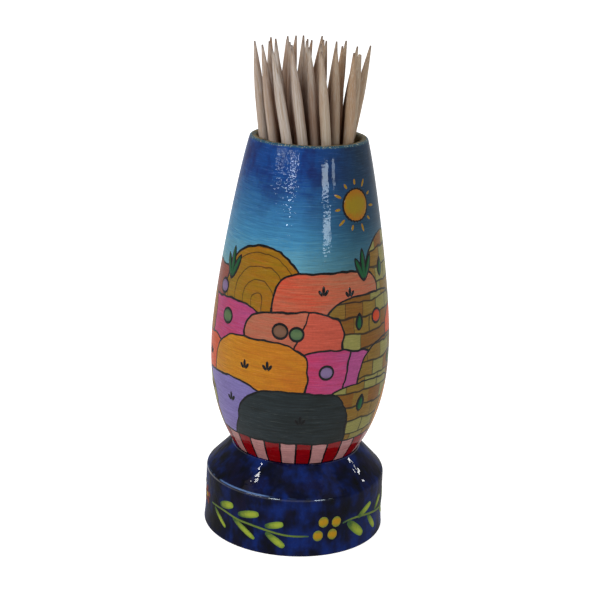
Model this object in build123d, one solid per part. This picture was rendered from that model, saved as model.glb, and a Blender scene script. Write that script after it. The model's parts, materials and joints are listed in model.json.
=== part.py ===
from build123d import *
import os
from math import cos, radians, sin, sqrt

# Open toothpick holder: a turned wooden cup glued by its tenon into a turned foot, and filled
# with loose toothpicks that stand on the floor of the bore and fan out at the mouth.
# Millimetres. +Z is up, and the origin is the centre of the foot's underside.

# ---- driving dimensions: the foot ----
FOOT_HEIGHT = 19.1          # table to the land that the cup sits on
FOOT_DIAMETER = 39.7        # the straight side, just under the shoulder
FOOT_FLARE = 0.3            # how far the bottom edge stands out past the side
FLARE_HEIGHT = 5.0          # the side starts to flare this far above the table
SHOULDER_HEIGHT = 13.2      # table to the corner between the side and the bevel
SHOULDER_ROUND = 1.4        # radius on that corner
EDGE_ROUND = 0.5            # radius on the bottom edge
SEAM_REVEAL = 0.3           # ring of the foot's land left showing round the cup

# ---- driving dimensions: the cup ----
CUP_HEIGHT = 68.9           # seat to rim
SEAT_DIAMETER = 27.8        # outside of the cup where it meets the foot
SEAT_ANGLE = 33.0           # lean of the outside wall from upright, at the seat
SEAT_CURVE_LENGTH = 11.0    # reach of the curve that leaves the seat
SEAT_ROUND = 0.4            # radius on the cup's bottom edge
BELLY_DIAMETER = 39.0       # widest point
BELLY_HEIGHT = 23.6         # seat to the widest point
BELLY_LENGTH_BELOW = 4.0    # reach of the upright stretch under the widest point
BELLY_LENGTH_ABOVE = 10.1   # reach of the upright stretch over it
RIM_DIAMETER = 24.9         # outside of the mouth
RIM_ANGLE = 16.4            # inward lean of the outside wall, at the rim
RIM_CURVE_LENGTH = 7.1      # reach of the curve that arrives at the rim
LIP_WALL = 1.55             # wall thickness at the mouth
LIP_FLAT = 0.45             # flat left on top of the lip, between its two rounded edges
BORE_DEPTH = 45.0           # rim to the flat floor of the drilled bore
BORE_CORNER = 0.8           # radius between the bore's wall and its floor

# ---- driving dimensions: the tenon joint between the two ----
TENON_DIAMETER = 13.0
TENON_LENGTH = 9.0
TENON_CHAMFER = 0.8
GLUE_GAP = 0.05             # radial room for glue round the tenon
GLUE_WELL = 0.5             # room for glue under the tenon

# ---- driving dimensions: the toothpicks ----
PICK_DIAMETER = 2.1
PICK_LENGTH = 65.0
LENGTH_SPREAD = 0.4         # toothpicks of one box differ by this much either way
LENGTH_TURN = 292.0         # degrees of the sine that their lengths follow, from place to place
POINT_LENGTH = 12.0         # length of each sharpened end
NOSE_LENGTH = 2.6           # the last, steeper stretch of a point
NOSE_DIAMETER = 1.24        # where the steeper stretch starts
TIP_DIAMETER = 0.34         # the blunt end of a point
SNAPPED_LENGTH = 1.6        # how much of the point is gone from the snapped toothpick
SNAP_ANGLE = 12.0           # slope of the break

# ---- driving dimensions: how the toothpicks stand ----
PICK_GAP = 0.1              # least room between neighbours at the waist of the bundle
MOUTH_GAP = 0.05            # room between the outermost toothpick and the lip
FLOOR_GAP = 0.1             # room under the tips
WAIST_HEIGHT = 17.0         # floor of the bore to the narrowest place of the bundle
MOUTH_SPREAD = 1.22         # the bundle is at least this many times wider at the mouth
SPIRAL_START = 1.3          # steps left out at the centre of the spiral
SPIRAL_TIGHTNESS = 0.6105   # spiral step over the least distance between neighbours
FIRST_AZIMUTH = 220.0       # where round the axis the spiral starts
WOBBLE = 0.006              # slope by which each toothpick strays from an even fan
WOBBLE_TURN = 275.0         # degrees between the directions that neighbours stray in
TAKEN_PLACES = (15, 23, 28)  # places of the spiral whose toothpicks have been used
SNAPPED_PLACE = 26          # place of the toothpick with a snapped point

GOLDEN_ANGLE = 180.0 * (3.0 - sqrt(5.0))
EDGE_SEARCH = 0.01          # an edge is taken to be at a height that it is this near to

# ---- heights and radii that follow ----
seat_z = FOOT_HEIGHT
belly_z = seat_z + BELLY_HEIGHT
rim_z = seat_z + CUP_HEIGHT
floor_z = rim_z - BORE_DEPTH
waist_z = floor_z + WAIST_HEIGHT

foot_r = FOOT_DIAMETER / 2
seat_r = SEAT_DIAMETER / 2
belly_r = BELLY_DIAMETER / 2
rim_r = RIM_DIAMETER / 2
bore_r = rim_r - LIP_WALL
tenon_r = TENON_DIAMETER / 2
pick_r = PICK_DIAMETER / 2
nose_r = NOSE_DIAMETER / 2
tip_r = TIP_DIAMETER / 2


def make_foot():
    """The turned foot: a drum with a flared bottom edge, a bevel and a mortise."""
    land_r = seat_r + SEAM_REVEAL
    bottom_r = foot_r + FOOT_FLARE
    with BuildPart() as foot:
        with BuildSketch(Plane.XZ) as section:
            with BuildLine():
                Polyline((bottom_r, 0), (0, 0), (0, seat_z), (land_r, seat_z),
                         (foot_r, SHOULDER_HEIGHT), (foot_r, FLARE_HEIGHT))
                TangentArc((foot_r, FLARE_HEIGHT), (bottom_r, 0), tangent=(0, -1))
            make_face()
            shoulder = section.vertices().sort_by_distance((foot_r, SHOULDER_HEIGHT))[0]
            fillet(shoulder, SHOULDER_ROUND)
            bottom_edge = section.vertices().sort_by_distance((bottom_r, 0))[0]
            fillet(bottom_edge, EDGE_ROUND)
        revolve(axis=Axis.Z)
        mortise_depth = TENON_LENGTH + GLUE_WELL
        with Locations((0, 0, seat_z)):
            Cylinder(tenon_r + GLUE_GAP, mortise_depth,
                     align=(Align.CENTER, Align.CENTER, Align.MAX), mode=Mode.SUBTRACT)
    return foot.part


def make_cup():
    """The turned cup: a full belly under a long neck, a tenon below and a drilled bore."""
    seat_lean = radians(SEAT_ANGLE)
    rim_lean = radians(RIM_ANGLE)
    with BuildPart() as cup:
        with BuildSketch(Plane.XZ) as section:
            with BuildLine():
                Polyline((0, rim_z), (0, seat_z), (seat_r, seat_z))
                Bezier((seat_r, seat_z),
                       (seat_r + SEAT_CURVE_LENGTH * sin(seat_lean),
                        seat_z + SEAT_CURVE_LENGTH * cos(seat_lean)),
                       (belly_r, belly_z - BELLY_LENGTH_BELOW),
                       (belly_r, belly_z))
                Bezier((belly_r, belly_z),
                       (belly_r, belly_z + BELLY_LENGTH_ABOVE),
                       (rim_r + RIM_CURVE_LENGTH * sin(rim_lean),
                        rim_z - RIM_CURVE_LENGTH * cos(rim_lean)),
                       (rim_r, rim_z))
                Line((rim_r, rim_z), (0, rim_z))
            make_face()
            bottom_edge = section.vertices().sort_by_distance((seat_r, seat_z))[0]
            fillet(bottom_edge, SEAT_ROUND)
        revolve(axis=Axis.Z)
        with Locations((0, 0, seat_z)):
            Cylinder(tenon_r, TENON_LENGTH, align=(Align.CENTER, Align.CENTER, Align.MAX))
        tenon_end = cup.edges().filter_by(GeomType.CIRCLE).sort_by(Axis.Z)[0]
        chamfer(tenon_end, TENON_CHAMFER)
        with Locations((0, 0, rim_z)):
            Cylinder(bore_r, BORE_DEPTH, align=(Align.CENTER, Align.CENTER, Align.MAX),
                     mode=Mode.SUBTRACT)
        circles = cup.edges().filter_by(GeomType.CIRCLE)
        lip = circles.filter_by_position(Axis.Z, rim_z - EDGE_SEARCH, rim_z + EDGE_SEARCH)
        bore_corner = circles.filter_by_position(Axis.Z, floor_z - EDGE_SEARCH, floor_z + EDGE_SEARCH)
        fillet(lip, (LIP_WALL - LIP_FLAT) / 2)
        fillet(bore_corner, BORE_CORNER)
    return cup.part


def make_toothpick(length):
    """A round toothpick with both ends sharpened, standing on the origin along +Z."""
    with BuildPart() as pick:
        with BuildSketch(Plane.XZ):
            with BuildLine():
                Polyline((0, 0), (tip_r, 0), (nose_r, NOSE_LENGTH), (pick_r, POINT_LENGTH),
                         (pick_r, length - POINT_LENGTH), (nose_r, length - NOSE_LENGTH),
                         (tip_r, length), (0, length), close=True)
            make_face()
        revolve(axis=Axis.Z)
    return pick.part


def snap_off(pick, length):
    """Break the upper point off a toothpick, a little out of square."""
    slope = radians(SNAP_ANGLE)
    break_plane = Plane(origin=(0, 0, length - SNAPPED_LENGTH), z_dir=(sin(slope), 0, cos(slope)))
    return split(pick, bisect_by=break_plane, keep=Keep.BOTTOM)


def stand(place):
    """Foot point and direction of a toothpick, by its place counted from the bundle's centre.

    The toothpicks cross the waist of the bundle on a golden-angle spiral. Each one leans
    sideways in proportion to its distance from the axis, so the bundle is a twisted sheaf:
    its lines never meet, and every toothpick can be drawn out along its own length.
    """
    steps = place - 1
    radius = spiral_step * sqrt(steps + SPIRAL_START)
    azimuth = radians(FIRST_AZIMUTH - steps * GOLDEN_ANGLE)
    waist_x = radius * cos(azimuth)
    waist_y = radius * sin(azimuth)
    stray = radians(steps * WOBBLE_TURN)
    slope_x = twist * waist_y + WOBBLE * cos(stray)
    slope_y = -twist * waist_x + WOBBLE * sin(stray)
    tip_z = floor_z + FLOOR_GAP
    drop = tip_z - waist_z
    foot_point = Vector(waist_x + slope_x * drop, waist_y + slope_y * drop, tip_z)
    return foot_point, Vector(slope_x, slope_y, 1).normalized()


# ---- the bundle: as many places as the bore has room for, and the twist that fans them ----
spiral_step = SPIRAL_TIGHTNESS * (PICK_DIAMETER + PICK_GAP)
mouth_r = bore_r - pick_r - MOUTH_GAP
largest_waist_r = mouth_r / MOUTH_SPREAD
place_count = int((largest_waist_r / spiral_step) ** 2 - SPIRAL_START) + 1
waist_r = spiral_step * sqrt(place_count - 1 + SPIRAL_START)
twist = sqrt((mouth_r / waist_r) ** 2 - 1) / (rim_z - waist_z)

# ---- build and write ----
os.makedirs("parts", exist_ok=True)
solids = {"foot": make_foot(), "cup": make_cup()}
places = [place for place in range(1, place_count + 1) if place not in TAKEN_PLACES]
for number, place in enumerate(places, start=1):
    length = PICK_LENGTH + LENGTH_SPREAD * sin(radians(LENGTH_TURN * place))
    pick = make_toothpick(length)
    if place == SNAPPED_PLACE:
        pick = snap_off(pick, length)
    foot_point, direction = stand(place)
    solids[f"toothpick_{number:02d}"] = Plane(origin=foot_point, z_dir=direction).location * pick

for name, solid in solids.items():
    solid.label = name
    export_step(solid, f"parts/{name}.step")
print(len(solids), "pieces")
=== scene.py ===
import json
from math import atan2, cos, degrees, pi, radians, sin, sqrt

import bpy
import numpy as np
from mathutils import Matrix, Vector, geometry


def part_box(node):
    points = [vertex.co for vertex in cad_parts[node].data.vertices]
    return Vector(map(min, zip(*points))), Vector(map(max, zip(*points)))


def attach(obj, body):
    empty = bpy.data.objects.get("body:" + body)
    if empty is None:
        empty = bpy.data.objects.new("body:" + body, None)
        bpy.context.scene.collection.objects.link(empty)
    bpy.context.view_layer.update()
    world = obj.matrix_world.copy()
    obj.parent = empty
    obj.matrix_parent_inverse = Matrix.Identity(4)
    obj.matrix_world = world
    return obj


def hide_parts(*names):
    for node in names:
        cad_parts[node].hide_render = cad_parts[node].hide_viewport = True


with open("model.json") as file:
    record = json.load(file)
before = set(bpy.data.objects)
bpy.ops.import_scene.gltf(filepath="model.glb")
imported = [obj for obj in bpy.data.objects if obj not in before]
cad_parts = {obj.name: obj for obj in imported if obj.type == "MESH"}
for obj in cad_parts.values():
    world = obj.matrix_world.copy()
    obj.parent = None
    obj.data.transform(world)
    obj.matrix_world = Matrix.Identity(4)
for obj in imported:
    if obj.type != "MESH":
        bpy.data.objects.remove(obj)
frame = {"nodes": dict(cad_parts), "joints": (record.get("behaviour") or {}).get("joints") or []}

# Looks of an open toothpick holder: a turned and painted cup on a turned and painted foot,
# varnished, and filled with birch toothpicks. Sizes are in millimetres unless their line says m,
# angles round the holder are in degrees from its front, and meshes are made in metres.

MM = 0.001
UP = Vector((0, 0, 1))
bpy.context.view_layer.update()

# ---- sizes of the turned pieces, as the solids have them ----
SEAT_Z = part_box("foot")[1].z / MM
RIM_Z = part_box("cup")[1].z / MM
FOOT_RADIUS = 19.85
FOOT_BOTTOM_RADIUS = 20.14
FLARE_Z = 5.0  # the side flares below this
SIDE_Z = 9.0   # a ring of points on the straight side
SHOULDER_Z = 13.2
SHOULDER_ROUND = 1.4
FOOT_EDGE_ROUND = 0.5
LAND_RADIUS = 14.2
LAND_ROUND = 0.3  # the solids leave this edge sharp
MORTISE_RADIUS = 6.55
MORTISE_Z = SEAT_Z - 9.5
SEAT_RADIUS = 13.9
SEAT_LEAN = radians(33.0)
SEAT_REACH = 11.0
SEAT_ROUND = 0.4
BELLY_RADIUS = 19.5
BELLY_Z = SEAT_Z + 23.6
BELLY_REACH_BELOW = 4.0
BELLY_REACH_ABOVE = 10.1
RIM_RADIUS = 12.45
RIM_LEAN = radians(16.4)
RIM_REACH = 7.1
LIP_ROUND = 0.55
BORE_RADIUS = 10.9
BORE_FLOOR_Z = RIM_Z - 45.0
BORE_CORNER = 0.8
TENON_RADIUS = 6.5
TENON_Z = SEAT_Z - 9.0
TENON_CHAMFER = 0.8

# ---- how finely the meshes are made ----
LATHE_STEPS = 288
WALL_POINTS = 48  # on each of the two curves of the cup's wall
WELD = 0.001      # points nearer than this become one
SPECK = 0.0001    # edges shorter than this are taken out


# ======== bench tools ========

def named(name):
    """The piece that an operator has just made, with its name."""
    piece = bpy.context.object
    piece.name = piece.data.name = name
    return piece


def take(piece):
    """Make a piece the only one selected."""
    bpy.ops.object.select_all(action="DESELECT")
    piece.select_set(True)
    bpy.context.view_layer.objects.active = piece


def open_all():
    """Open the piece at hand for editing, with all of it selected."""
    bpy.ops.object.mode_set(mode="EDIT")
    bpy.ops.mesh.select_all(action="SELECT")


def smooth(piece, angle=35.0):
    take(piece)
    bpy.ops.object.shade_smooth_by_angle(angle=radians(angle))


def rounded(before, corner, after, radius, steps=8):
    """Points of the arc that rounds a corner of a profile."""
    here, back, on = Vector(corner), Vector(before), Vector(after)
    to_back, to_on = (back - here).normalized(), (on - here).normalized()
    half = to_back.angle(to_on) / 2
    start = here + to_back * radius / np.tan(half)
    end = here + to_on * radius / np.tan(half)
    centre = here + (to_back + to_on).normalized() * radius / sin(half)
    first, last = (start - centre).normalized(), (end - centre).normalized()
    return [centre + first.slerp(last, step / steps) * radius for step in range(steps + 1)]


def lathe(name, profile):
    """Turn a profile of (radius, height) points round the Z axis into a closed solid."""
    bpy.ops.mesh.primitive_plane_add(size=1)
    piece = named(name)
    open_all()
    bpy.ops.mesh.merge(type="CENTER")
    first = Vector((profile[0][0], 0, profile[0][1])) * MM
    bpy.ops.transform.translate(value=first)
    here = first
    for radius, height in profile[1:]:
        there = Vector((radius, 0, height)) * MM
        bpy.ops.mesh.extrude_region_move(TRANSFORM_OT_translate={"value": there - here})
        here = there
    bpy.ops.mesh.select_all(action="SELECT")
    bpy.ops.mesh.spin(steps=LATHE_STEPS, angle=2 * pi, axis=(0, 0, 1), center=(0, 0, 0))
    bpy.ops.mesh.select_all(action="SELECT")
    bpy.ops.mesh.remove_doubles(threshold=WELD * MM)
    bpy.ops.mesh.dissolve_degenerate(threshold=SPECK * MM)
    bpy.ops.mesh.select_all(action="SELECT")
    bpy.ops.mesh.normals_make_consistent(inside=False)
    bpy.ops.object.mode_set(mode="OBJECT")
    smooth(piece)
    return piece


# ======== profiles ========

def cup_wall():
    """Points of the cup's outer wall, seat to rim: two curves that meet upright at the belly."""
    seat, belly, rim = (SEAT_RADIUS, SEAT_Z), (BELLY_RADIUS, BELLY_Z), (RIM_RADIUS, RIM_Z)
    leaving = (SEAT_RADIUS + SEAT_REACH * sin(SEAT_LEAN), SEAT_Z + SEAT_REACH * cos(SEAT_LEAN))
    under = (BELLY_RADIUS, BELLY_Z - BELLY_REACH_BELOW)
    over = (BELLY_RADIUS, BELLY_Z + BELLY_REACH_ABOVE)
    arriving = (RIM_RADIUS + RIM_REACH * sin(RIM_LEAN), RIM_Z - RIM_REACH * cos(RIM_LEAN))

    def curve(*points):
        corners = [Vector((r, z, 0)) for r, z in points]
        return [Vector((p.x, p.y)) for p in geometry.interpolate_bezier(*corners, WALL_POINTS)]

    return curve(seat, leaving, under, belly) + curve(belly, over, arriving, rim)[1:]


WALL = cup_wall()
WALL_RADII = [point.x for point in WALL]
WALL_HEIGHTS = [point.y for point in WALL]


def cup_radius(height):
    return float(np.interp(height, WALL_HEIGHTS, WALL_RADII))


def foot_radius(height):
    flare = max(FLARE_Z - height, 0) / FLARE_Z
    return FOOT_RADIUS + (FOOT_BOTTOM_RADIUS - FOOT_RADIUS) * flare ** 2


def cup_profile():
    seat_inner = (TENON_RADIUS, SEAT_Z)
    seat_outer = (SEAT_RADIUS, SEAT_Z)
    lip_outer = (RIM_RADIUS, RIM_Z)
    lip_inner = (BORE_RADIUS, RIM_Z)
    bore_floor = (BORE_RADIUS, BORE_FLOOR_Z)
    lowest, highest = SEAT_Z + 1.2 * SEAT_ROUND, RIM_Z - 1.4 * LIP_ROUND
    wall = [point for point in WALL if lowest < point.y < highest]
    bore_rings = np.linspace(RIM_Z - 4, BORE_FLOOR_Z + 4, 8)
    return [(0, TENON_Z),
            (TENON_RADIUS - TENON_CHAMFER, TENON_Z),
            (TENON_RADIUS, TENON_Z + TENON_CHAMFER),
            seat_inner,
            *rounded(seat_inner, seat_outer, wall[3], SEAT_ROUND),
            *wall,
            *rounded(wall[-1], lip_outer, lip_inner, LIP_ROUND),
            *rounded(lip_outer, lip_inner, bore_floor, LIP_ROUND),
            *[(BORE_RADIUS, height) for height in bore_rings],
            *rounded(lip_inner, bore_floor, (0, BORE_FLOOR_Z), BORE_CORNER),
            (0, BORE_FLOOR_Z)]


def foot_profile():
    shoulder = (FOOT_RADIUS, SHOULDER_Z)
    land = (LAND_RADIUS, SEAT_Z)
    mortise = (MORTISE_RADIUS, SEAT_Z)
    flare = [(foot_radius(z), z) for z in np.linspace(1.2 * FOOT_EDGE_ROUND, FLARE_Z, 10)]
    return [(0, 0),
            *rounded((0, 0), (FOOT_BOTTOM_RADIUS, 0), flare[3], FOOT_EDGE_ROUND),
            *flare[1:],
            (FOOT_RADIUS, SIDE_Z),
            *rounded((FOOT_RADIUS, FLARE_Z), shoulder, land, SHOULDER_ROUND, steps=12),
            *rounded(shoulder, land, mortise, LAND_ROUND, steps=5),
            mortise,
            (MORTISE_RADIUS, MORTISE_Z),
            (0, MORTISE_Z)]


# ======== materials ========

VARNISH = {"Specular_IOR_Level": 0.0, "Coat_Roughness": 0.03, "Coat_IOR": 1.5}
CUP_VARNISH = {**VARNISH, "Coat_Weight": 0.24}
FOOT_VARNISH = {**VARNISH, "Coat_Weight": 0.12}


def srgb(red, green, blue):
    """A colour as mixed on a palette of 0 to 255, for a shader."""
    def linear(part):
        part /= 255
        return part / 12.92 if part <= 0.04045 else ((part + 0.055) / 1.055) ** 2.4
    return (linear(red), linear(green), linear(blue), 1.0)


class Wire:
    """A value in a material's node tree, which sums can be written with."""

    def __init__(self, tree, socket):
        self.tree, self.socket = tree, socket

    def sum(self, operation, *others):
        node = self.tree.nodes.new("ShaderNodeMath")
        node.operation = operation
        for place, value in enumerate((self, *others)):
            if isinstance(value, Wire):
                self.tree.links.new(value.socket, node.inputs[place])
            else:
                node.inputs[place].default_value = value
        return Wire(self.tree, node.outputs[0])

    def __add__(self, other):
        return self.sum("ADD", other)

    def __sub__(self, other):
        return self.sum("SUBTRACT", other)

    def __mul__(self, other):
        return self.sum("MULTIPLY", other)

    def __truediv__(self, other):
        return self.sum("DIVIDE", other)

    def root(self):
        return self.sum("SQRT")

    def size(self):
        return self.sum("ABSOLUTE")

    def at_least(self, other):
        return self.sum("MAXIMUM", other)

    def fraction(self):
        return self.sum("FRACT")

    def off_half(self):
        """How far it is from the nearest half: 0 at 0.5 and at 1.5, and 0.5 at 1."""
        return (self.fraction() - 0.5).size()

    def off_whole(self):
        """How far it is from the nearest whole number."""
        return self.off_half() * -1.0 + 0.5

    def ramp(self, low, high):
        """0 at low and 1 at high, straight between the two and level outside."""
        node = self.tree.nodes.new("ShaderNodeMapRange")
        node.clamp = True
        self.tree.links.new(self.socket, node.inputs["Value"])
        node.inputs["From Min"].default_value = low
        node.inputs["From Max"].default_value = high
        return Wire(self.tree, node.outputs["Result"])


def vector(x, y, z):
    node = x.tree.nodes.new("ShaderNodeCombineXYZ")
    for place, value in enumerate((x, y, z)):
        x.tree.links.new(value.socket, node.inputs[place])
    return Wire(x.tree, node.outputs[0])


def noise(place, scale=1.0, detail=2.0, roughness=0.5):
    node = place.tree.nodes.new("ShaderNodeTexNoise")
    node.inputs["Scale"].default_value = scale
    node.inputs["Detail"].default_value = detail
    node.inputs["Roughness"].default_value = roughness
    place.tree.links.new(place.socket, node.inputs["Vector"])
    return Wire(place.tree, node.outputs["Fac"])


def white_noise(place):
    """A number from 0 to 1 for each cell, with no likeness between neighbours."""
    node = place.tree.nodes.new("ShaderNodeTexWhiteNoise")
    place.tree.links.new(place.socket, node.inputs["Vector"])
    return Wire(place.tree, node.outputs["Value"])


def blend(below, above, share):
    """One colour laid over another. A colour is a wire or a palette tuple."""
    tree = share.tree
    node = tree.nodes.new("ShaderNodeMix")
    node.data_type = "RGBA"
    for name, value in (("A_Color", below), ("B_Color", above)):
        socket = next(s for s in node.inputs if s.identifier == name)
        if isinstance(value, Wire):
            tree.links.new(value.socket, socket)
        else:
            socket.default_value = value
    tree.links.new(share.socket, node.inputs[0])
    return Wire(tree, next(s for s in node.outputs if s.identifier == "Result_Color"))


def shade(colour, amount):
    """A colour made darker or lighter, its hue kept, by an amount round 1."""
    tree = colour.tree
    node = tree.nodes.new("ShaderNodeVectorMath")
    node.operation = "SCALE"
    tree.links.new(colour.socket, node.inputs[0])
    tree.links.new(amount.socket, node.inputs["Scale"])
    return Wire(tree, node.outputs[0])


def parts_of(place):
    """The x, the y and the z of a place."""
    node = place.tree.nodes.new("ShaderNodeSeparateXYZ")
    place.tree.links.new(place.socket, node.inputs[0])
    return [Wire(place.tree, node.outputs[axis]) for axis in range(3)]


class Finish:
    """A new material with its Principled shader and, in millimetres, the place on the piece."""

    def __init__(self, name):
        self.material = bpy.data.materials.new(name)
        self.material.use_nodes = True
        self.tree = self.material.node_tree
        self.shader = self.tree.nodes["Principled BSDF"]
        place = Wire(self.tree, self.tree.nodes.new("ShaderNodeTexCoord").outputs["Object"])
        self.x, self.y, self.z = (part * (1 / MM) for part in parts_of(place))

    def place(self, across=1.0, up=1.0):
        """The place with its two level directions and its height stretched."""
        return vector(self.x * across, self.y * across, self.z * up)

    def angle(self):
        """Degrees round the holder from its front, positive to the right."""
        return self.x.sum("ARCTAN2", self.y * -1.0) * degrees(1)

    def radius(self):
        """How far out from the axis, in millimetres."""
        return (self.x * self.x + self.y * self.y).root()

    def own(self, name, output="Fac"):
        """What the points of the piece carry under a name."""
        node = self.tree.nodes.new("ShaderNodeAttribute")
        node.attribute_name = name
        return Wire(self.tree, node.outputs[output])

    def paint(self, colour):
        self.tree.links.new(colour.socket, self.shader.inputs["Base Color"])

    def gloss(self, weight):
        """How much varnish lies on each place."""
        self.tree.links.new(weight.socket, self.shader.inputs["Coat Weight"])

    def set(self, **values):
        for name, value in values.items():
            self.shader.inputs[name.replace("_", " ")].default_value = value

    def relief(self, height, depth, socket="Normal"):
        """Let a height in 0 to 1 stand out by a depth in millimetres."""
        node = self.tree.nodes.new("ShaderNodeBump")
        node.inputs["Distance"].default_value = depth * MM
        self.tree.links.new(height.socket, node.inputs["Height"])
        self.tree.links.new(node.outputs["Normal"], self.shader.inputs[socket])


INK = srgb(8, 8, 10)
PALETTE = {  # each paint, and the paint that its brush drags into it
    "coral": (srgb(188, 70, 46), srgb(156, 100, 72)),
    "salmon": (srgb(158, 98, 72), srgb(180, 74, 54)),
    "rust": (srgb(140, 64, 44), srgb(122, 62, 52)),
    "orange": (srgb(208, 76, 26), srgb(174, 70, 34)),
    "magenta": (srgb(176, 48, 86), srgb(158, 66, 116)),
    "lilac": (srgb(126, 112, 168), srgb(112, 98, 148)),
    "ochre": (srgb(184, 120, 18), srgb(172, 92, 14)),
    "gold": (srgb(134, 102, 8), srgb(150, 86, 10)),
    "slate": (srgb(36, 44, 47), srgb(12, 17, 13)),
    "sand": (srgb(122, 86, 24), srgb(128, 104, 38)),
}
OLIVE = srgb(134, 130, 70)  # plots of the terraces that aren't sand
BROWN = srgb(116, 62, 12)

# Hills of the painted landscape, back to front: where the middle stands round the holder, the
# height of the top, half of the width and the height of the crest (mm), how square the crest is
# (2 is round), how far the hill leans to the right, the paint, and what is drawn on it.
HILLS = (
    (-80, 61.5, 11.5, 8.0, 2.8, 0.10, "rust", "plain"),
    (-31, 67.5, 10.0, 11.5, 2.0, 0.00, "gold", "rings"),
    (76, 69.0, 10.0, 12.0, 2.3, -0.12, "sand", "terraces"),
    (22, 63.0, 12.5, 7.5, 3.0, 0.12, "coral", "plain"),
    (128, 63.5, 11.5, 8.5, 2.8, 0.08, "magenta", "plain"),
    (180, 68.0, 10.5, 12.0, 2.1, 0.00, "ochre", "rings"),
    (231, 62.5, 12.0, 8.0, 3.0, -0.10, "coral", "plain"),
    (-54, 55.0, 11.5, 7.5, 2.6, -0.12, "magenta", "plain"),
    (51, 57.5, 11.5, 8.0, 3.0, 0.10, "sand", "terraces"),
    (-4, 54.5, 11.0, 7.0, 3.2, 0.08, "salmon", "hedge"),
    (103, 54.0, 12.0, 8.0, 2.6, -0.10, "orange", "plain"),
    (154, 56.0, 11.5, 8.0, 3.0, 0.10, "lilac", "plain"),
    (205, 54.5, 12.0, 7.5, 2.8, -0.12, "sand", "terraces"),
    (256, 56.0, 11.5, 8.0, 2.6, 0.12, "gold", "rings"),
    (-79, 46.0, 12.0, 7.5, 3.0, 0.12, "orange", "plain"),
    (25, 46.5, 11.0, 7.5, 2.8, -0.10, "magenta", "hedge"),
    (-28, 48.0, 12.0, 8.5, 2.8, 0.10, "ochre", "plain"),
    (76, 47.0, 11.5, 8.0, 3.0, 0.10, "sand", "terraces"),
    (128, 45.5, 12.0, 8.0, 2.8, -0.10, "coral", "hedge"),
    (180, 47.0, 11.5, 7.5, 3.0, 0.10, "rust", "plain"),
    (231, 46.0, 12.0, 8.0, 2.6, -0.12, "slate", "plain"),
    (50, 38.5, 12.0, 7.5, 3.2, -0.12, "sand", "terraces"),
    (-53, 38.0, 12.0, 7.5, 3.0, 0.12, "lilac", "plain"),
    (-2, 37.5, 12.5, 8.0, 2.6, 0.10, "slate", "plain"),
    (103, 37.0, 12.0, 7.5, 3.0, -0.10, "ochre", "rings"),
    (154, 38.0, 12.0, 8.0, 2.8, 0.12, "magenta", "plain"),
    (205, 36.5, 12.0, 7.5, 3.0, -0.10, "orange", "hedge"),
    (256, 38.0, 12.0, 7.5, 2.6, 0.10, "sand", "terraces"),
)
RINGS = 4  # contour lines on a hill
TERRACE_HEIGHT = 3.3
PLOTS = 26         # plots that a terrace is split into, round the whole cup
PLOT_SHIFT = 0.43  # from one terrace to the next
INK_WIDTH = 0.42
INK_EDGE = (0.06, -0.04)  # a line of ink fades out between these distances from its edge
SOFT_EDGE = 0.05          # two paints meet over this distance, either way
STRIPES_TOP = 24.8
STRIPES = 30  # round the whole cup, red and pink by turns
RED = srgb(124, 4, 9)
RED_DRAGGED = srgb(110, 12, 20)
PINK = srgb(170, 118, 114)
SKY_LOW = srgb(104, 152, 156)
SKY_MIDDLE = srgb(60, 124, 160)
SKY_HIGH = srgb(10, 60, 124)
SKY_CLOUD = srgb(12, 26, 84)
# painted shade for the right side of the sky, high and low
SKY_RIGHT_SHADE_HIGH = srgb(18, 42, 54)
SKY_RIGHT_SHADE_LOW = srgb(50, 84, 88)
DRY_BRISTLE = srgb(190, 184, 164)
LIP_TEAL = srgb(40, 84, 100)
LIP_CHIP = srgb(168, 164, 136)


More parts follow.
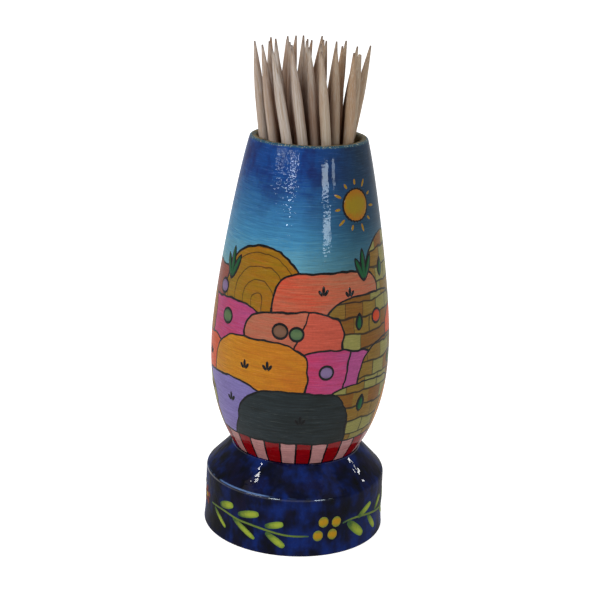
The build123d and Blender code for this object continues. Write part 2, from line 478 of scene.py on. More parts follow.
def painted_cup():
    """Sky over a patchwork of hills over a striped hem, under an uneven varnish."""
    finish = Finish("painted_cup")
    broad = noise(finish.place(), 0.11, 2.0)
    hand = noise(finish.place(), 0.35, 1.0)
    streak = noise(finish.place(0.16, 2.4), 1.0, 4.0, 0.62)
    bristle = noise(finish.place(0.30, 7.0), 1.0, 3.0, 0.6)
    mottle = noise(finish.place(), 2.6, 3.0, 0.7)
    height = finish.z + (broad - 0.5) * 2.2 + (hand - 0.5) * 0.9
    angle = finish.angle() + (hand - 0.5) * 4.0
    per_degree = finish.radius() * radians(1)
    ink_half = (mottle * 0.6 + broad * 0.8 + 0.3) * (INK_WIDTH / 2)

    def inked(below, off_line):
        """A colour under a line of ink, given how far each place is from the line's middle."""
        return blend(below, INK, (off_line.size() - ink_half).ramp(*INK_EDGE))

    def covered(below, above, outside):
        """A colour under another that has an inked edge, given the distance outside the edge."""
        return inked(blend(below, above, outside.ramp(SOFT_EDGE, -SOFT_EDGE)), outside)

    # sky: deep blue at the rim, pale teal over the hills, with painted shade that makes it duller
    # and darker to the right
    up = finish.z + (mottle - 0.5) * 7.0 + (streak - 0.5) * 10.0
    colour = blend(SKY_LOW, SKY_MIDDLE, up.ramp(59.0, 69.0))
    colour = blend(colour, SKY_HIGH, up.ramp(68.0, 82.0))
    cloud = noise(finish.place(1.0, 0.8), 0.17, 3.0, 0.6)
    clouded = cloud.ramp(0.48, 0.64) * finish.z.ramp(70.0, 84.0)
    colour = blend(colour, SKY_CLOUD, clouded * 0.85)
    # painted shade on the right side of the sky
    right_shade_high = finish.x.ramp(-1.0, 10.0) * finish.z.ramp(55.0, 72.0)
    colour = blend(colour, SKY_RIGHT_SHADE_HIGH, right_shade_high * 0.85)
    right_shade_low = finish.x.ramp(-2.0, 10.0) * finish.z.ramp(72.0, 58.0)
    colour = blend(colour, SKY_RIGHT_SHADE_LOW, right_shade_low * 0.85)

    # level terraces, split into plots that take their colours by chance
    terrace = height / TERRACE_HEIGHT
    row = terrace.sum("FLOOR")
    along_row = finish.angle() * (PLOTS / 360) + row * PLOT_SHIFT + (hand - 0.5) * 0.15
    place_in_row = along_row.sum("FLOORED_MODULO", PLOTS).sum("FLOOR")
    plot = white_noise(vector(place_in_row, row, row))
    plot_line = along_row.off_whole().ramp(0.045, 0.020) * plot.ramp(0.5, 0.6)
    terrace_line = terrace.off_whole().ramp(0.085, 0.045).at_least(plot_line)

    for middle, top, half_width, cap, square, lean, paint, drawn in HILLS:
        below = height - top
        aside = (angle - middle).sum("WRAP", 180.0, -180.0) * per_degree - below * lean

        # out is 1 along the hill's edge. By its slope it becomes a distance in millimetres.
        across = (aside / half_width).size()
        rise = (below / cap + 1.0).at_least(0.0)
        across_power = across.sum("POWER", square - 1)
        rise_power = rise.sum("POWER", square - 1)
        out = (across_power * across + rise_power * rise).sum("POWER", 1 / square).at_least(0.05)
        slope_across = (across_power / half_width).sum("POWER", 2.0)
        slope_up = (rise_power / cap).sum("POWER", 2.0)
        slope = (slope_across + slope_up).root()
        past_edge = (out - 1.0) * out.sum("POWER", square - 1) / slope.at_least(0.01)
        outside = past_edge - out.ramp(0.6, 0.5)

        main, dragged = PALETTE[paint]
        drift = aside * (0.16 / half_width) + streak * 0.85 + broad * 0.5
        fill = blend(main, dragged, drift.ramp(0.45, 0.95))
        if drawn == "rings":
            line = (out * RINGS).off_half().ramp(0.055, 0.03)
            fill = blend(fill, INK, line * 0.7)
        if drawn == "terraces":
            fill = blend(fill, OLIVE, plot.ramp(0.68, 0.70) * 0.8)
            browned = plot.ramp(0.30, 0.28) * (streak.ramp(0.3, 0.6) * 0.5 + 0.3)
            fill = blend(fill, BROWN, browned)
            fill = blend(fill, INK, terrace_line * 0.85)
        if drawn == "hedge":
            hedge = aside - below * 0.3 - 3.0
            fill = inked(blend(fill, dragged, hedge.ramp(-SOFT_EDGE, SOFT_EDGE)), hedge)
        colour = covered(colour, fill, outside)

    # the hem of upright stripes
    turn = (finish.angle() + (hand - 0.5) * 1.6) * (STRIPES / 360) + STRIPES
    pair = (turn * 0.5).fraction()
    stripe = blend(RED, PINK, pair.ramp(0.499, 0.501))
    stripe = blend(stripe, RED_DRAGGED, streak.ramp(0.50, 0.85) * 0.4)
    stripe = blend(stripe, INK, (turn + 0.5).off_half().ramp(0.075, 0.045))
    hem = finish.z + (hand - 0.5) * 0.8 - STRIPES_TOP
    colour = covered(colour, stripe, hem)

    # bristle marks all over, and the lip rubbed to teal with pale chips
    colour = shade(colour, bristle * 1.1 + mottle * 0.5 + 0.22)
    colour = blend(colour, DRY_BRISTLE, bristle.ramp(0.62, 0.80) * 0.12)
    lip = finish.z.ramp(RIM_Z - 0.50, RIM_Z - 0.20)
    colour = blend(colour, LIP_TEAL, lip * 0.8)
    colour = blend(colour, LIP_CHIP, mottle.ramp(0.56, 0.64) * lip)
    finish.paint(colour)
    finish.set(Roughness=0.5, **CUP_VARNISH)
    finish.relief(bristle * 0.5 + mottle * 0.5, 0.03)

    # the varnish is pebbled on the left and smoother on the right
    pebbled = finish.x.ramp(1.0, -3.0) * 0.8 + 0.2
    pebbles = noise(finish.place(), 1.6, 1.0, 0.5)
    finish.relief(pebbles * pebbled, 0.065, "Coat Normal")
    return finish.material


FOOT_NAVY = srgb(3, 8, 36)
FOOT_BLUE = srgb(8, 32, 94)
FOOT_BLACK = srgb(1, 2, 8)
FOOT_VIOLET = srgb(14, 10, 38)
FOOT_FLECK = srgb(16, 44, 108)
# pale blue of the painted highlight along the shoulder
RIDGE_HIGHLIGHT_BLUE = srgb(104, 134, 186)
FOOT_BARE = srgb(120, 92, 62)
RIDGE_Z = SHOULDER_Z + 0.22     # where a painted highlight runs along the foot's shoulder
POLISHED_Z = SHOULDER_Z - 0.15  # and, just under it, where hands have polished the varnish


def painted_foot():
    """Navy over a brighter blue, with a painted highlight on the shoulder, under a gloss varnish
    that hands have polished.
    """
    finish = Finish("painted_foot")
    cloud = noise(finish.place(), 0.16, 3.0, 0.55)
    upright = noise(finish.place(0.45, 0.12), 1.0, 2.0, 0.5)
    mottle = noise(finish.place(), 2.2, 3.0, 0.65)
    depth = cloud * 0.65 + upright * 0.35
    colour = blend(FOOT_NAVY, FOOT_BLUE, depth.ramp(0.46, 0.61))
    colour = blend(colour, FOOT_BLACK, depth.ramp(0.46, 0.37))
    violet = noise(finish.place(), 0.21, 2.0, 0.5)
    colour = blend(colour, FOOT_VIOLET, violet.ramp(0.52, 0.68) * 0.7)
    flecks = mottle.ramp(0.50, 0.80) * depth.ramp(0.50, 0.6)
    colour = blend(colour, FOOT_FLECK, flecks * 0.6)
    # painted highlight: a pale line along the shoulder, mostly on the left, where a lamp reflects
    ridge = (finish.z - RIDGE_Z).size().ramp(0.20, 0.04)
    ridge_highlight = ridge * violet.ramp(0.40, 0.56) * finish.x.ramp(5.0, -5.0)
    colour = blend(colour, RIDGE_HIGHLIGHT_BLUE, ridge_highlight * 0.75)
    colour = blend(colour, FOOT_BARE, finish.z.ramp(0.25, 0.05))
    finish.paint(colour)
    finish.set(Roughness=0.5, **FOOT_VARNISH)

    # polished along the shoulder, less so on the right, and round the edge under the cup
    handled = (finish.z - POLISHED_Z).size().ramp(0.24, 0.08) * finish.x.ramp(9.0, 4.0)
    polished = handled.at_least(finish.z.ramp(SEAT_Z - 0.16, SEAT_Z - 0.08))
    finish.gloss(polished * 0.70 + FOOT_VARNISH["Coat_Weight"])
    finish.relief(upright * 0.5 + mottle * 0.5, 0.03)
    finish.relief(noise(finish.place(), 0.6, 1.0, 0.45), 0.09, "Coat Normal")
    return finish.material


BORE_PALE = srgb(142, 126, 88)
BORE_DARK = srgb(104, 90, 56)
BORE_RUN = srgb(36, 74, 88)
BORE_DEPTH_SHADE = srgb(74, 52, 32)


def bare_bore():
    """Raw wood inside the cup, with paint that ran over the lip and painted shade further down."""
    finish = Finish("bare_bore")
    grain = noise(finish.place(1.6, 0.08), 1.0, 4.0, 0.6)
    ring = noise(finish.place(0.2, 3.0), 1.0, 2.0, 0.5)
    colour = blend(BORE_PALE, BORE_DARK, (grain * 0.6 + ring * 0.4).ramp(0.35, 0.7))
    stray = noise(finish.place(), 0.9, 3.0)
    run = finish.z.ramp(RIM_Z - 1.0, RIM_Z - 0.1) * stray.ramp(0.46, 0.60)
    colour = blend(colour, BORE_RUN, run * 0.8)
    # painted shade, darker further down inside the bore
    colour = blend(colour, BORE_DEPTH_SHADE, finish.z.ramp(RIM_Z - 1.0, RIM_Z - 5.0) * 0.8)
    finish.paint(colour)
    finish.set(Roughness=0.75, Specular_IOR_Level=0.1)
    finish.relief(ring * 0.5 + grain * 0.5, 0.08)
    return finish.material


BIRCH_GREY = srgb(193, 177, 166)
BIRCH_RIGHT_SHADE = srgb(173, 151, 126)
BIRCH_GRAIN = srgb(158, 130, 106)
BIRCH_HONEY = srgb(156, 110, 72)
BIRCH_VEIN = srgb(110, 74, 46)
BIRCH_PALE = srgb(190, 180, 172)
BIRCH_BUNDLE_SHADE = srgb(96, 50, 22)
BIRCH_TIP_SHADE = srgb(92, 72, 62)
BUNDLE_SHADE_RADIUS = 9.4   # at the rim, painted shade starts on wood nearer the axis than this
BUNDLE_SHADE_DEPTH = 2.4    # and this much further in, the painted shade is as dark as it gets
BUNDLE_FLARE = 0.137  # how much wider the bundle gets with each mm above the rim


def birch():
    """Bare birch, its grain along each toothpick, with painted shade deep in the bundle, at the
    tips, at the back and to the right.
    """
    finish = Finish("birch")
    x, y, z = parts_of(finish.own("along_pick", "Vector"))

    def drawn_out(across, up):
        return vector(x * across, y * across, z * up)

    grain = noise(drawn_out(3.4, 0.10), 1.0, 4.0, 0.62)
    fibre = noise(drawn_out(9.0, 0.35), 1.0, 3.0, 0.7)
    tone = noise(drawn_out(0.09, 0.01), 1.0, 1.0)
    # painted light and shade: paler grey on the bundle's left, browner on its right
    painted_side_light = blend(BIRCH_GREY, BIRCH_RIGHT_SHADE, finish.x.ramp(-4.0, 6.0))
    colour = blend(painted_side_light, BIRCH_GRAIN, grain.ramp(0.38, 0.66) * 0.9)
    # tone that differs at random, and painted shade that makes the toothpicks at the back warmer
    # and darker
    tone_and_back_shade = tone.ramp(0.46, 0.64) * 0.45 + finish.y.ramp(-2.0, 5.0) * 0.35
    colour = blend(colour, BIRCH_HONEY, tone_and_back_shade)
    colour = blend(colour, BIRCH_VEIN, fibre.ramp(0.58, 0.80) * 0.6)
    colour = blend(colour, BIRCH_PALE, fibre.ramp(0.48, 0.28) * 0.7)
    # painted shade deep inside the bundle, between the toothpicks
    fanned = finish.radius() - (finish.z - RIM_Z) * BUNDLE_FLARE
    inner = fanned.ramp(BUNDLE_SHADE_RADIUS, BUNDLE_SHADE_RADIUS - BUNDLE_SHADE_DEPTH)
    deep = inner * finish.z.ramp(RIM_Z + 17, RIM_Z + 4)
    colour = blend(colour, BIRCH_BUNDLE_SHADE, deep * 0.75)
    # painted shade, darker towards the tips of the toothpicks
    colour = blend(colour, BIRCH_TIP_SHADE, finish.own("from_tip").ramp(1.3, 0.1) * 0.7)
    finish.paint(colour)
    finish.set(Roughness=0.68, Specular_IOR_Level=0.15)
    finish.relief(grain * 0.5 + fibre * 0.5, 0.05)
    return finish.material


def dabbed(name, middle, edge, varnish, start=None):
    """A dab of paint under varnish, thinner at its rim and, given start, where it sets off."""
    finish = Finish(name)
    out = finish.own("from_middle")
    ripple = noise(finish.place(), 1.4, 3.0, 0.6)
    colour = blend(middle, edge, (out + (ripple - 0.5) * 0.9).ramp(0.35, 0.95))
    if start:
        along = finish.own("along_stroke") + (ripple - 0.5) * 0.6
        colour = blend(start, colour, along.ramp(0.05, 0.60))
    finish.paint(colour)
    finish.set(Roughness=0.5, **varnish)
    finish.relief(ripple, 0.06)
    return finish.material


# ======== brush strokes ========

BACKING = 0.08       # how deep a stroke reaches into the wall
STROKE_WELD = 0.002  # points of a stroke that are nearer than this become one
INK_LIFT = 0.05      # ink stands out less than the dabs that lie on it


def mm_per_degree(height, radius_at):
    return radius_at(height) * radians(1)


def on_wall(angle, height, lift, radius_at):
    """The point on a turned wall, lifted off it along the wall's slope."""
    step = 0.2
    lean = atan2(radius_at(height - step) - radius_at(height + step), 2 * step)
    radius = radius_at(height) + lift * cos(lean)
    turn = radians(angle)
    return Vector((radius * sin(turn), -radius * cos(turn), height + lift * sin(lean))) * MM


def stroke(name, route, width, radius_at, lift=0.10, along=16, blunt=0.5):
    """One domed brush stroke along a route of (angle, height) on a turned wall.

    Its width swells from one end to the other: width is (start, end). lift is how far its
    middle stands out, and along how many faces it has on its way. blunt is 0.5 for round ends
    and nearer 0 for square ones.
    """
    bpy.ops.mesh.primitive_grid_add(x_subdivisions=along, y_subdivisions=6, size=2)
    piece = named(name)
    step = 0.1
    spots = np.array(route, float)
    per_degree = mm_per_degree(spots[:, 1].mean(), radius_at)
    legs = np.diff(spots, axis=0) * (per_degree, 1)
    reach = np.concatenate([[0], np.cumsum(np.hypot(*legs.T))])
    piece.data.attributes.new("from_middle", "FLOAT", "POINT")
    piece.data.attributes.new("along_stroke", "FLOAT", "POINT")
    rim, way = piece.data.attributes["from_middle"], piece.data.attributes["along_stroke"]
    for vertex in piece.data.vertices:
        share, aside = (vertex.co.x + 1) / 2, vertex.co.y
        share = (1 - cos(pi * share)) / 2
        off = 2 * share - 1
        at = share * reach[-1]
        before, after = max(at - step, 0), min(at + step, reach[-1])
        angle, angle_before, angle_after = np.interp((at, before, after), reach, spots[:, 0])
        height, height_before, height_after = np.interp((at, before, after), reach, spots[:, 1])
        run = (angle_after - angle_before) * per_degree
        rise = height_after - height_before
        length = sqrt(run * run + rise * rise)
        full = width[0] + (width[1] - width[0]) * share
        half = full / 2 * max(1 - off ** 2, 0) ** blunt
        rim.data[vertex.index].value = max(abs(aside), abs(off) ** 3)
        way.data[vertex.index].value = share
        vertex.co = on_wall(angle - rise / length * aside * half / per_degree,
                            height + run / length * aside * half,
                            lift * (1 - aside ** 2) * max(1 - off ** 6, 0), radius_at)
    return piece


def joined(name, pieces, material):
    """Several strokes in one paint, given a back and joined as one piece on the holder."""
    take(pieces[0])
    for piece in pieces:
        piece.select_set(True)
    bpy.ops.object.join()
    whole = named(name)
    open_all()
    bpy.ops.mesh.remove_doubles(threshold=STROKE_WELD * MM)
    bpy.ops.object.mode_set(mode="OBJECT")
    backing = whole.modifiers.new("backing", "SOLIDIFY")
    backing.thickness = BACKING * MM
    backing.offset = -1
    bpy.ops.object.modifier_apply(modifier=backing.name)
    smooth(whole, angle=60)
    whole.data.materials.append(material)
    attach(whole, "holder")
    return whole


# Half of the garland round the foot, in degrees from its middle and mm above the table: a wavy
# stem on each side of four berries, with leaves in pairs, and a flower where the two halves meet.
GARLAND_MIDDLES = (22.0, 202.0)
STEMS = (
    ((-87, 6.8), (-72, 7.0), (-59, 6.4), (-48, 6.1), (-38, 5.6), (-25, 4.9), (-11.5, 4.8)),
    ((11, 6.9), (16, 7.3), (24, 7.3), (36, 6.7), (48, 6.0), (60, 5.8), (76, 6.6)),
)
STEM_WIDTH = 0.55
LEAVES = (  # from the stem, to the tip, and the width at the two ends
    ((-75.2, 8.0), (-62.8, 9.2), 1.7, 1.9), ((-58.7, 7.7), (-43.6, 9.0), 1.5, 1.9),
    ((-39.4, 6.5), (-27.6, 7.5), 1.4, 1.8), ((-82.2, 6.4), (-69.2, 3.2), 1.0, 1.2),
    ((-62.8, 6.4), (-46.0, 3.0), 1.3, 1.4), ((-38.8, 5.1), (-26.6, 2.2), 1.4, 1.8),
    ((15.0, 6.9), (28.4, 2.7), 2.0, 2.1), ((23.4, 7.1), (36.8, 9.3), 1.4, 1.7),
    ((33.4, 6.7), (43.0, 2.6), 1.2, 1.6), ((42.7, 6.6), (52.3, 9.1), 1.2, 1.7),
    ((52.0, 6.2), (64.0, 3.2), 1.3, 1.6), ((60.0, 6.0), (70.0, 9.0), 1.3, 1.7),
)
BERRIES = ((-2.4, 7.9), (6.4, 7.6), (-5.7, 4.8), (3.9, 4.8))
BERRY_SIZE = 2.25
BERRY_HEIGHT = BERRY_SIZE * 1.1
FLOWER = (-97.0, 7.2)
PETALS = 5
PETAL_REACH = (0.5, 2.3)  # from the flower's middle
PETAL_WIDTH = (1.2, 1.7)
HEART_SIZE = 1.3


def eased(route, parts=6):
    """A route with its corners drawn out into one smooth line."""
    spots = [Vector((a, h, 0)) for a, h in route]
    ends = [spots[0] * 2 - spots[1], *spots, spots[-1] * 2 - spots[-2]]
    line = []
    for before, here, there, after in zip(ends, ends[1:], ends[2:], ends[3:]):
        pull, push = (there - before) / 6, (after - here) / 6
        curve = geometry.interpolate_bezier(here, here + pull, there - push, there, parts + 1)
        line += [(spot.x, spot.y) for spot in curve[:-1]]
    return [*line, route[-1]]


def round_dab(name, angle, height, across, tall, radius_at, lift=0.10):
    """A round or oval dab."""
    half = across / 2 / mm_per_degree(height, radius_at)
    route = [(angle - half, height), (angle + half, height)]
    return stroke(name, route, (tall, tall), radius_at, lift, along=14)


def from_spot(angle, height, near, far, turn, radius_at):
    """The route of a stroke that points away from a spot, turn being degrees from upright."""
    per_degree = mm_per_degree(height, radius_at)
    aside, up = sin(radians(turn)), cos(radians(turn))
    return [(angle + reach * aside / per_degree, height + reach * up) for reach in (near, far)]


def paint_garland():
    leaf_green = dabbed("leaf_green", srgb(150, 160, 52), srgb(104, 126, 46), FOOT_VARNISH,
                        start=srgb(56, 84, 42))
    stem_green = dabbed("stem_green", srgb(104, 118, 46), srgb(60, 84, 52), FOOT_VARNISH)
    berry_yellow = dabbed("berry_yellow", srgb(172, 126, 22), srgb(112, 120, 44), FOOT_VARNISH)
    flower_red = dabbed("flower_red", srgb(120, 56, 40), srgb(76, 32, 40), FOOT_VARNISH)
    stems, leaves, berries, petals, hearts = [], [], [], [], []
    for middle in GARLAND_MIDDLES:
        for route in STEMS:
            line = eased([(middle + angle, height) for angle, height in route])
            stems.append(stroke("stem", line, (STEM_WIDTH, STEM_WIDTH), foot_radius,
                                lift=0.06, along=60, blunt=0.15))
        for start, end, narrow, broad in LEAVES:
            route = [(middle + start[0], start[1]), (middle + end[0], end[1])]
            leaves.append(stroke("leaf", route, (narrow, broad), foot_radius,
                                 lift=0.11, blunt=0.34))
        for angle, height in BERRIES:
            spot = (middle + angle, height)
            berries.append(round_dab("berry", *spot, BERRY_SIZE, BERRY_HEIGHT, foot_radius))
        flower = (middle + FLOWER[0], FLOWER[1])
        for petal in range(PETALS):
            route = from_spot(*flower, *PETAL_REACH, petal * 360 / PETALS, foot_radius)
            petals.append(stroke("petal", route, PETAL_WIDTH, foot_radius, along=12))
        hearts.append(round_dab("heart", *flower, HEART_SIZE, HEART_SIZE, foot_radius))
    for name, pieces, paint in (("stems", stems, stem_green), ("leaves", leaves, leaf_green),
                                ("berries", berries, berry_yellow),
                                ("petals", petals, flower_red), ("hearts", hearts, berry_yellow)):
        joined("garland_" + name, pieces, paint)


# What is dabbed on the hills, in degrees round the holder and mm above the table. Bushes, drops,
# fronds and the sun lie on larger dabs of ink, which show round them as outlines.
BUSHES = (  # round ones: place, size and paint
    (-64, 56.8, 2.9, "mauve"), (-55, 51.0, 3.0, "moss"), (-13, 50.4, 3.0, "brown"),
    (-2.5, 50.0, 2.7, "moss"), (17, 41.8, 2.8, "mauve"), (57, 52.2, 2.9, "tomato"),
    (77, 41.5, 2.6, "moss"), (128, 58.0, 3.0, "mauve"), (152, 51.0, 2.9, "moss"),
    (206, 49.5, 2.8, "tomato"), (231, 57.6, 3.0, "brown"), (180, 42.0, 2.8, "mauve"),
    (104, 48.6, 2.8, "moss"), (256, 32.0, 2.8, "tomato"), (-80, 33.0, 2.8, "brown"),
)
DROPS = (  # pointed ones: place, height and width
    (66, 62.0, 3.3, 2.1), (44, 33.6, 3.2, 2.0), (40, 51.8, 2.9, 1.8), (214, 51.0, 3.0, 1.9),
    (262, 33.0, 3.0, 1.9), (199, 31.0, 3.0, 1.9), (110, 43.0, 3.0, 1.9),
)
DROP_LEAN = 4
DROP_END = 0.6  # width at the point over width at the foot
DROP_BLUNT = 0.7
TUFTS = (  # ticks of ink that fan out of one spot: place
    (-36, 40.6), (-20, 41.2), (-76, 40.0), (14, 57.6), (-48, 32.2), (2, 29.4), (33, 57.0),
    (100, 29.0), (120, 40.0), (136, 55.8), (158, 44.5), (180, 60.0), (222, 41.0), (238, 40.0),
    (154, 31.0),
)
TICKS = ((-32, 1.9), (0, 2.5), (30, 2.0))  # lean, and how far it reaches
TICK_START = 0.5
TICK_WIDTH = (0.55, 0.75)
SPRIGS = (  # fronds that rise from the skyline: foot, and the longest frond
    (-57, 59.0, 6.6), (46, 60.4, 6.4), (103, 59.5, 6.4), (207, 60.0, 6.8),
)
FRONDS = ((-26, 0.80), (-2, 1.0), (24, 0.86))  # lean, and share of the longest
FROND_START = 0.2
FROND_WIDTH = (1.3, 1.1)
FROND_INK_START = -0.3
FROND_INK_WIDTH = (1.9, 1.7)
SUN = (43, 76.0, 3.3)  # place and radius
RAYS = 11
RAY_GAP = 0.8
RAY_REACHES = (2.0, 2.6)  # of even and of odd rays, from the sun's rim
RAY_WIDTH = (0.6, 0.5)
OUTLINE = 0.32  # how far ink shows round a dab


def paint_hills():
    """Bushes, drops, tufts of ticks, fronds and a sun, dabbed over the hills."""
    paints = {
        "mauve": dabbed("mauve_dab", srgb(122, 98, 134), srgb(104, 78, 112), CUP_VARNISH),
        "moss": dabbed("moss_dab", srgb(84, 104, 66), srgb(56, 82, 58), CUP_VARNISH),
        "brown": dabbed("brown_dab", srgb(112, 78, 60), srgb(96, 66, 46), CUP_VARNISH),
        "tomato": dabbed("tomato_dab", srgb(190, 62, 20), srgb(158, 50, 52), CUP_VARNISH),
        "frond": dabbed("frond_green", srgb(14, 78, 40), srgb(4, 38, 24), CUP_VARNISH),
        "sun": dabbed("sun_gold", srgb(140, 112, 18), srgb(156, 92, 14), CUP_VARNISH),
    }
    dabs = {paint: [] for paint in paints}
    ink = []
    for angle, height, size, paint in BUSHES:
        wide = size + 2 * OUTLINE
        ink.append(round_dab("outline", angle, height, wide, wide, cup_radius, INK_LIFT))
        dabs[paint].append(round_dab("bush", angle, height, size, size, cup_radius))
    for angle, height, tall, wide in DROPS:
        low, high = -tall / 2, tall / 2
        outer = from_spot(angle, height, low - OUTLINE, high + 2 * OUTLINE, DROP_LEAN, cup_radius)
        inner = from_spot(angle, height, low, high, DROP_LEAN, cup_radius)
        ink.append(stroke("outline", outer, (wide + 2 * OUTLINE, wide), cup_radius, INK_LIFT,
                          along=14, blunt=DROP_BLUNT))
        dabs["frond"].append(stroke("drop", inner, (wide, wide * DROP_END), cup_radius,
                                    along=14, blunt=DROP_BLUNT))
    for angle, height in TUFTS:
        for lean, reach in TICKS:
            route = from_spot(angle, height, TICK_START, reach, lean, cup_radius)
            ink.append(stroke("tick", route, TICK_WIDTH, cup_radius, lift=0.06, along=10))
    for angle, height, longest in SPRIGS:
        for lean, share in FRONDS:
            reach = longest * share
            outer = from_spot(angle, height, FROND_INK_START, reach + OUTLINE, lean, cup_radius)
            inner = from_spot(angle, height, FROND_START, reach, lean, cup_radius)
            ink.append(stroke("outline", outer, FROND_INK_WIDTH, cup_radius, INK_LIFT,
                              along=18, blunt=0.6))
            dabs["frond"].append(stroke("frond", inner, FROND_WIDTH, cup_radius,
                                        along=18, blunt=0.6))
    angle, height, size = SUN
    wide = 2 * (size + OUTLINE)
    ink.append(round_dab("outline", angle, height, wide, wide, cup_radius, INK_LIFT))
    dabs["sun"].append(round_dab("sun", angle, height, 2 * size, 2 * size, cup_radius, lift=0.13))
    for ray in range(RAYS):
        reach = size + RAY_REACHES[ray % 2]
        route = from_spot(angle, height, size + RAY_GAP, reach, ray * 360 / RAYS, cup_radius)
        dabs["sun"].append(stroke("ray", route, RAY_WIDTH, cup_radius, lift=0.07, along=10))
    joined("hill_ink", ink, dabbed("ink", INK, srgb(20, 18, 20), CUP_VARNISH))
    for paint, pieces in dabs.items():
        joined("hill_" + paint, pieces, paints[paint])


# ======== toothpicks ========

PICK_SIDES = 20
PICK_RADIUS = 1.05
TIP_RADIUS = 0.17
PICK_LENGTH = 65.0
POINT_LENGTH = 12.0
POINT_SWELL = 1.55  # 1 for a straight taper, and more for a fuller one
POINT_STEPS = (0.0, 0.35, 0.9, 1.8, 3.2, 5.0, 7.0, 9.2, 11.0)
SHANK_START = POINT_LENGTH + 1.0
SHANK_SHARES = (0.35, 0.5, 0.65)  # rings between the points, as shares of the length
SNAPPED_PICK = "toothpick_24"
SNAPPED_LENGTH = 1.6
SNAP_ANGLE = radians(12)
PICK_TURN = 137.5  # degrees that each is turned further round its own axis than the last
OWN_GRAIN = Vector((7.3, 3.1, 11.0))  # how far apart two toothpicks lie in the grain


def pick_radius(from_end):
    """A sharpened end swells quickly from its blunt tip and then ever more slowly."""
    share = min(from_end / POINT_LENGTH, 1)
    return TIP_RADIUS + (PICK_RADIUS - TIP_RADIUS) * (1 - (1 - share) ** POINT_SWELL)


def turn_pick():
    """A toothpick of the usual length on the origin, drawn up ring by ring from its lower tip."""
    lower = [*POINT_STEPS, SHANK_START]
    shank = [PICK_LENGTH * share for share in SHANK_SHARES]
    upper = [PICK_LENGTH - height for height in reversed(lower)]
    bpy.ops.mesh.primitive_circle_add(vertices=PICK_SIDES, radius=TIP_RADIUS * MM, fill_type="NGON")
    pick = named("toothpick_model")
    open_all()
    here, radius = 0.0, TIP_RADIUS
    for height in [*lower[1:], *shank, *upper]:
        wanted = pick_radius(min(height, PICK_LENGTH - height))
        swell = wanted / radius
        rise = (0, 0, (height - here) * MM)
        bpy.ops.mesh.extrude_region_move(TRANSFORM_OT_translate={"value": rise})
        bpy.ops.transform.resize(value=(swell, swell, 1), center_override=(0, 0, 0))
        here, radius = height, wanted
    bpy.ops.mesh.select_all(action="SELECT")
    bpy.ops.mesh.normals_make_consistent(inside=False)
    bpy.ops.object.mode_set(mode="OBJECT")
    return pick


def cut_pick(model, name, length):
    """A copy of the model, as long as this toothpick is."""
    pick = model.copy()
    pick.data = model.data.copy()
    bpy.context.scene.collection.objects.link(pick)
    pick.name = pick.data.name = name
    for vertex in pick.data.vertices:
        if vertex.co.z > PICK_LENGTH / 2 * MM:
            vertex.co.z += (length - PICK_LENGTH) * MM
    return pick


def snap(pick, length):
    """Take the upper point off along one sloping break."""
    take(pick)
    open_all()
    bpy.ops.mesh.bisect(plane_co=(0, 0, (length - SNAPPED_LENGTH) * MM),
                        plane_no=(sin(SNAP_ANGLE), 0, 1), clear_outer=True, use_fill=True)
    bpy.ops.object.mode_set(mode="OBJECT")


def place_toothpicks():
    """Stand a toothpick on each joint's axis, in place of its plain solid."""
    wood = birch()
    model = turn_pick()
    for number, joint in enumerate(frame["joints"]):
        node = joint["child"]
        axis = Vector(joint["axis"]).normalized()
        corners = np.array([vertex.co for vertex in frame["nodes"][node].data.vertices])
        along = corners @ np.array(axis)
        foot = Vector(corners[along < along.min() + WELD * MM].mean(axis=0))
        length = (along.max() - along.min()) / MM
        snapped = node == SNAPPED_PICK
        if snapped:
            length += SNAPPED_LENGTH
        pick = cut_pick(model, "birch_" + node, length)
        if snapped:
            snap(pick, length)
        pick.data.transform(Matrix.Rotation(radians(PICK_TURN * number), 4, "Z"))
        pick.data.attributes.new("along_pick", "FLOAT_VECTOR", "POINT")
        pick.data.attributes.new("from_tip", "FLOAT", "POINT")
        own, tip = pick.data.attributes["along_pick"], pick.data.attributes["from_tip"]
        for vertex in pick.data.vertices:
            own.data[vertex.index].vector = vertex.co / MM + OWN_GRAIN * number
            tip.data[vertex.index].value = min(vertex.co.z / MM, length - vertex.co.z / MM)
        lean = UP.rotation_difference(axis).to_matrix().to_4x4()
        pick.data.transform(Matrix.Translation(foot) @ lean)
        pick.data.materials.append(wood)
        smooth(pick, angle=50)
        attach(pick, node)
        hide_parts(node)
    bpy.data.objects.remove(model)


# ======== the holder ========

BARE_RADIUS = 11.75  # the paint stops here on the lip
NEAR = 0.01          # a face is taken to be at a height that it is this near to


def turn_cup():
    cup = lathe("turned_cup", cup_profile())
    cup.data.materials.append(painted_cup())
    cup.data.materials.append(bare_bore())
    for face in cup.data.polygons:
        height = face.center.z / MM
        radius = sqrt(face.center.x ** 2 + face.center.y ** 2) / MM
        inside = radius < BARE_RADIUS and height > BORE_FLOOR_Z - NEAR
        under = height < SEAT_Z + NEAR
        face.material_index = 1 if inside or under else 0
    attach(cup, "holder")
    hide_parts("cup")


def turn_foot():
    foot = lathe("turned_foot", foot_profile())
    foot.data.materials.append(painted_foot())
    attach(foot, "holder")
    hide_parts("foot")


# ======== floor, lights and camera ========

FLOOR_RADIUS = 6.0  # m
FLOOR_GREY = 0.9
FLOOR_LIFT = 0.80   # glow of the floor where it is looked at, so that it is white
WORLD_LEVEL = 0.20  # how strongly the world lights. It looks as bright as 1.


def seen_ray(tree):
    """1 where the ground is looked at, directly or by reflection, and 0 where it only lights."""
    path = tree.nodes.new("ShaderNodeLightPath")
    looked_at, reflected, seen_through = (
        Wire(tree, path.outputs[f"Is {ray} Ray"]) for ray in ("Camera", "Glossy", "Transmission"))
    return looked_at.at_least(reflected).at_least(seen_through)


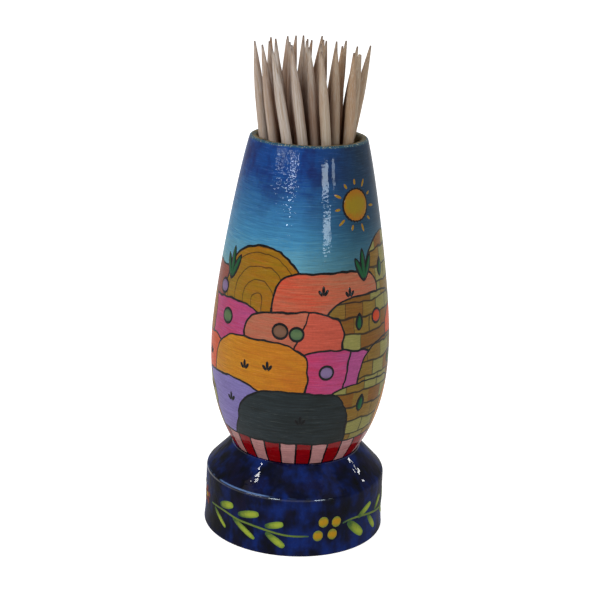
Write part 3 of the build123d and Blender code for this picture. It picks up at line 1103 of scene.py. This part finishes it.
def lay_floor():
    bpy.ops.mesh.primitive_circle_add(vertices=96, radius=FLOOR_RADIUS, fill_type="NGON")
    floor = named("floor")
    material = bpy.data.materials.new("white_floor")
    material.use_nodes = True
    tree = material.node_tree
    shader = tree.nodes["Principled BSDF"]
    shader.inputs["Base Color"].default_value = (FLOOR_GREY, FLOOR_GREY, FLOOR_GREY, 1)
    shader.inputs["Roughness"].default_value = 0.9
    shader.inputs["Specular IOR Level"].default_value = 0.0
    glow = tree.nodes.new("ShaderNodeEmission")
    tree.links.new((seen_ray(tree) * FLOOR_LIFT).socket, glow.inputs["Strength"])
    both = tree.nodes.new("ShaderNodeAddShader")
    tree.links.new(shader.outputs[0], both.inputs[0])
    tree.links.new(glow.outputs[0], both.inputs[1])
    tree.links.new(both.outputs[0], tree.nodes["Material Output"].inputs["Surface"])
    floor.data.materials.append(material)


AIM = Vector((0, 0, 0.055))  # what all the lamps point at, m
DAYLIGHT = (0.74, 0.89, 1.0)
LAMPLIGHT = (1.0, 0.84, 0.66)
PLAIN_WHITE = (1.0, 1.0, 1.0)
# name, degrees round from the front, degrees up, distance, width and height (m), power (W), colour
LIGHTS = (
    ("soft_left", -62.0, 34.0, 1.0, 0.60, 0.50, 1.7, LAMPLIGHT),
    ("soft_right", 58.0, 42.0, 1.0, 0.60, 0.50, 0.8, LAMPLIGHT),
    ("window_left", -26.0, 14.6, 1.2, 0.28, 0.05, 3.2, DAYLIGHT),
    ("window_far_left", -50.0, 15.5, 1.2, 0.40, 0.06, 2.1, DAYLIGHT),
    ("window_right", 31.0, 12.3, 1.2, 0.22, 0.11, 2.3, DAYLIGHT),
    ("window_far_right", 46.0, 12.3, 1.2, 0.10, 0.11, 0.6, DAYLIGHT),
    ("window_low", 33.0, 5.8, 1.2, 0.24, 0.06, 1.4, DAYLIGHT),
    ("overhead", 0.0, 84.0, 1.3, 1.10, 1.10, 1.2, PLAIN_WHITE),
    ("behind", 180.0, 40.0, 1.2, 0.80, 0.60, 1.8, PLAIN_WHITE),
    ("bulb_left", -75.0, 50.5, 1.2, 0.070, 0.070, 2.0, PLAIN_WHITE),
    ("bulb_right", 116.0, 28.5, 1.2, 0.060, 0.060, 1.2, PLAIN_WHITE),
)


def hang_lights():
    world = bpy.data.worlds.new("studio")
    bpy.context.scene.world = world
    world.use_nodes = True
    tree = world.node_tree
    ground = tree.nodes["Background"]
    strength = seen_ray(tree) * (1 - WORLD_LEVEL) + WORLD_LEVEL
    tree.links.new(strength.socket, ground.inputs["Strength"])
    ground.inputs["Color"].default_value = (1, 1, 1, 1)
    for name, turn, rise, distance, width, tall, power, colour in LIGHTS:
        lamp = bpy.data.lights.new(name, "AREA")
        lamp.shape = "RECTANGLE"
        lamp.size, lamp.size_y, lamp.energy = width, tall, power
        lamp.color = colour
        hung = bpy.data.objects.new(name, lamp)
        bpy.context.scene.collection.objects.link(hung)
        turn, rise = radians(turn), radians(rise)
        way = Vector((sin(turn) * cos(rise), -cos(turn) * cos(rise), sin(rise)))
        hung.location = AIM + way * distance
        hung.rotation_euler = way.to_track_quat("Z", "Y").to_euler()


CAMERA_AIM = Vector((-0.43, 0, 51.72)) * MM
CAMERA_DISTANCE = 316.26 * MM
CAMERA_UP_ANGLE = radians(16.90)
CAMERA_ROLL = radians(2.45)
CAMERA_LENS = 87.12
SENSOR_WIDTH = 36.0
NEAREST, FARTHEST = 0.01, 50.0  # what the camera sees lies between these, m


def set_camera():
    back = Vector((0, -cos(CAMERA_UP_ANGLE), sin(CAMERA_UP_ANGLE)))
    up = Vector((0, sin(CAMERA_UP_ANGLE), cos(CAMERA_UP_ANGLE)))
    right = Vector((1, 0, 0))
    turned_right = right * cos(CAMERA_ROLL) + up * sin(CAMERA_ROLL)
    turned_up = up * cos(CAMERA_ROLL) - right * sin(CAMERA_ROLL)
    lens = bpy.data.cameras.new("camera")
    lens.lens = CAMERA_LENS
    lens.sensor_width = SENSOR_WIDTH
    lens.clip_start, lens.clip_end = NEAREST, FARTHEST
    camera = bpy.data.objects.new("camera", lens)
    bpy.context.scene.collection.objects.link(camera)
    stand = Matrix((turned_right, turned_up, back)).transposed().to_4x4()
    camera.matrix_world = Matrix.Translation(CAMERA_AIM + back * CAMERA_DISTANCE) @ stand
    bpy.context.scene.camera = camera


turn_foot()
turn_cup()
paint_garland()
paint_hills()
place_toothpicks()
lay_floor()
hang_lights()
set_camera()
bpy.context.scene.view_settings.view_transform = "Standard"

bpy.context.view_layer.update()
